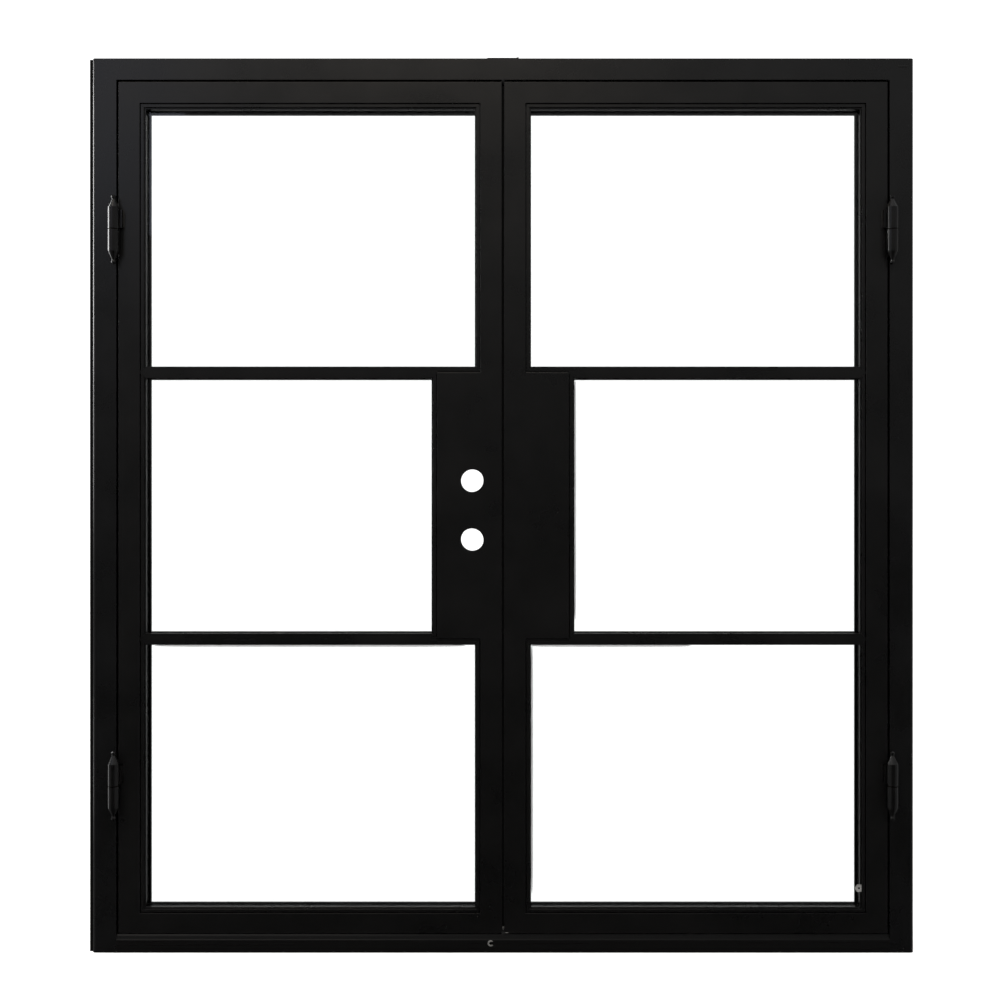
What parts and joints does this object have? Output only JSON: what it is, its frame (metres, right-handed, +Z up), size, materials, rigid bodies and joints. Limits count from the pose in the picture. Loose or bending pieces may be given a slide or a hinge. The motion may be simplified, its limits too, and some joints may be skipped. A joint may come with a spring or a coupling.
{
  "type": "french doors",
  "caption": "Pair of black steel glazed doors in a flush frame with a sill, barrel hinges and a lock panel on each leaf, one bored for a lock, opening outwards from the middle.",
  "frame": {"origin": "centre of the sill's underside, at half the frame's depth", "axes": "+Z up, +X to the right as seen from the hinge side, +Y away from that side"},
  "size_m": [1.938, 0.178, 2.1047],
  "materials": {
    "frame_coat": "satin black powder coat",
    "leaf_coat": "satin black powder coat",
    "bead_coat": "satin black powder coat",
    "hinge_coat": "satin black paint on turned steel",
    "sill_coat": "satin black powder coat",
    "clear_glass": "clear toughened glass",
    "spacer_black": "black spacer bar with sealant",
    "glazing_tape": "black closed-cell tape",
    "setting_block_rubber": "dark rubber",
    "seal_rubber": "black seal rubber",
    "washer_bronze": "bearing bronze",
    "keeper_brass": "plain brass",
    "pin_steel": "ground steel",
    "bolt_steel": "drawn steel",
    "clip_zinc": "zinc-plated sheet"
  },
  "bodies": {
    "frame": {"bolt_keepers": "keeper_brass", "frame_seal": "seal_rubber", "head": "frame_coat", "head_strap": "frame_coat", "hinge_high_left_frame_half": "hinge_coat", "hinge_high_right_frame_half": "hinge_coat", "hinge_low_left_frame_half": "hinge_coat", "hinge_low_right_frame_half": "hinge_coat", "hinge_pins": "pin_steel", "hinge_washers": "washer_bronze", "jamb_left": "frame_coat", "jamb_right": "frame_coat", "sill": "sill_coat", "stop_head": "frame_coat", "stop_left": "frame_coat", "stop_right": "frame_coat"},
    "left_leaf": {"hinge_high_left_leaf_half": "hinge_coat", "hinge_low_left_leaf_half": "hinge_coat", "left_bottom_rail": "leaf_coat", "left_bottom_sweep": "seal_rubber", "left_glass_spacers": "spacer_black", "left_glazing_tape": "glazing_tape", "left_high_meeting_stile": "leaf_coat", "left_hinge_stile": "leaf_coat", "left_lock_box": "leaf_coat", "left_low_meeting_stile": "leaf_coat", "left_lower_bead": "bead_coat", "left_lower_cross_bar": "leaf_coat", "left_lower_glass": "clear_glass", "left_middle_bead": "bead_coat", "left_middle_glass": "clear_glass", "left_setting_blocks": "setting_block_rubber", "left_top_rail": "leaf_coat", "left_upper_bead": "bead_coat", "left_upper_cross_bar": "leaf_coat", "left_upper_glass": "clear_glass"},
    "right_leaf": {"glazing_clip": "clip_zinc", "hinge_high_right_leaf_half": "hinge_coat", "hinge_low_right_leaf_half": "hinge_coat", "meeting_seal": "seal_rubber", "right_bottom_rail": "leaf_coat", "right_bottom_sweep": "seal_rubber", "right_glass_spacers": "spacer_black", "right_glazing_tape": "glazing_tape", "right_high_meeting_stile": "leaf_coat", "right_hinge_stile": "leaf_coat", "right_lock_box": "leaf_coat", "right_low_meeting_stile": "leaf_coat", "right_lower_bead": "bead_coat", "right_lower_cross_bar": "leaf_coat", "right_lower_glass": "clear_glass", "right_middle_bead": "bead_coat", "right_middle_glass": "clear_glass", "right_setting_blocks": "setting_block_rubber", "right_top_rail": "leaf_coat", "right_upper_bead": "bead_coat", "right_upper_cross_bar": "leaf_coat", "right_upper_glass": "clear_glass"},
    "top_bolt": {"top_bolt": "bolt_steel"},
    "bottom_bolt": {"bottom_bolt": "bolt_steel"}
  },
  "joints": [
    {"name": "left_leaf_swing", "type": "hinge", "parent": "frame", "child": "left_leaf", "pos_m": [-0.909, -0.0895, 1.0465], "axis": [0, 0, -1], "range_deg": [0, 170]},
    {"name": "right_leaf_swing", "type": "hinge", "parent": "frame", "child": "right_leaf", "pos_m": [0.909, -0.0895, 1.0465], "axis": [0, 0, 1], "range_deg": [0, 170]},
    {"name": "top_bolt_slide", "type": "slide", "parent": "right_leaf", "child": "top_bolt", "axis": [0, 0, 1], "range_m": [0, 0.018]},
    {"name": "bottom_bolt_slide", "type": "slide", "parent": "right_leaf", "child": "bottom_bolt", "axis": [0, 0, -1], "range_m": [0, 0.028]}
  ]
}
